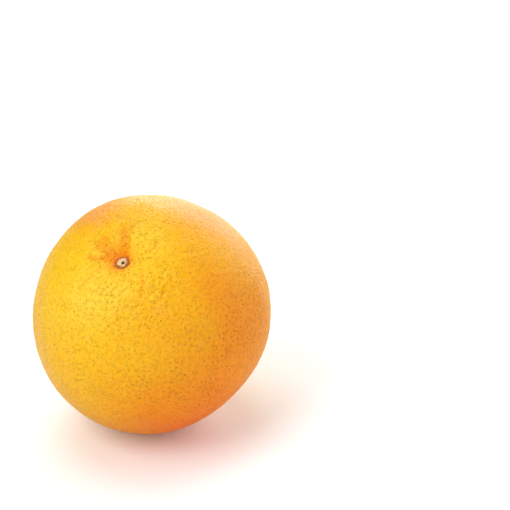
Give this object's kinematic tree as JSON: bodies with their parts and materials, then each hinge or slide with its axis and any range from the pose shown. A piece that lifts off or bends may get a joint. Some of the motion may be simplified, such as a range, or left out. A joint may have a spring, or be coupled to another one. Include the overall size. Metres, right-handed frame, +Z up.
{
  "type": "grapefruit",
  "caption": "Whole round grapefruit with a pored yellow-orange peel, creased stem end and woody stem button, lying on a small flat spot; food prop for kitchens and markets.",
  "frame": {"origin": "centre of the object's box, at the height of the flat spot that the fruit rests on", "axes": "+Z up from the surface that the fruit lies on; the stem end leans 36.5 degrees from +Z, towards -Y and a little towards -X"},
  "size_m": [0.1146, 0.1142, 0.1115],
  "materials": {
    "peel": "waxy, finely pored, soft gloss",
    "dried_stem": "dry, matt, fibrous"
  },
  "bodies": {
    "root": {"fruit": "peel", "stem_button": "dried_stem"}
  },
  "joints": []
}
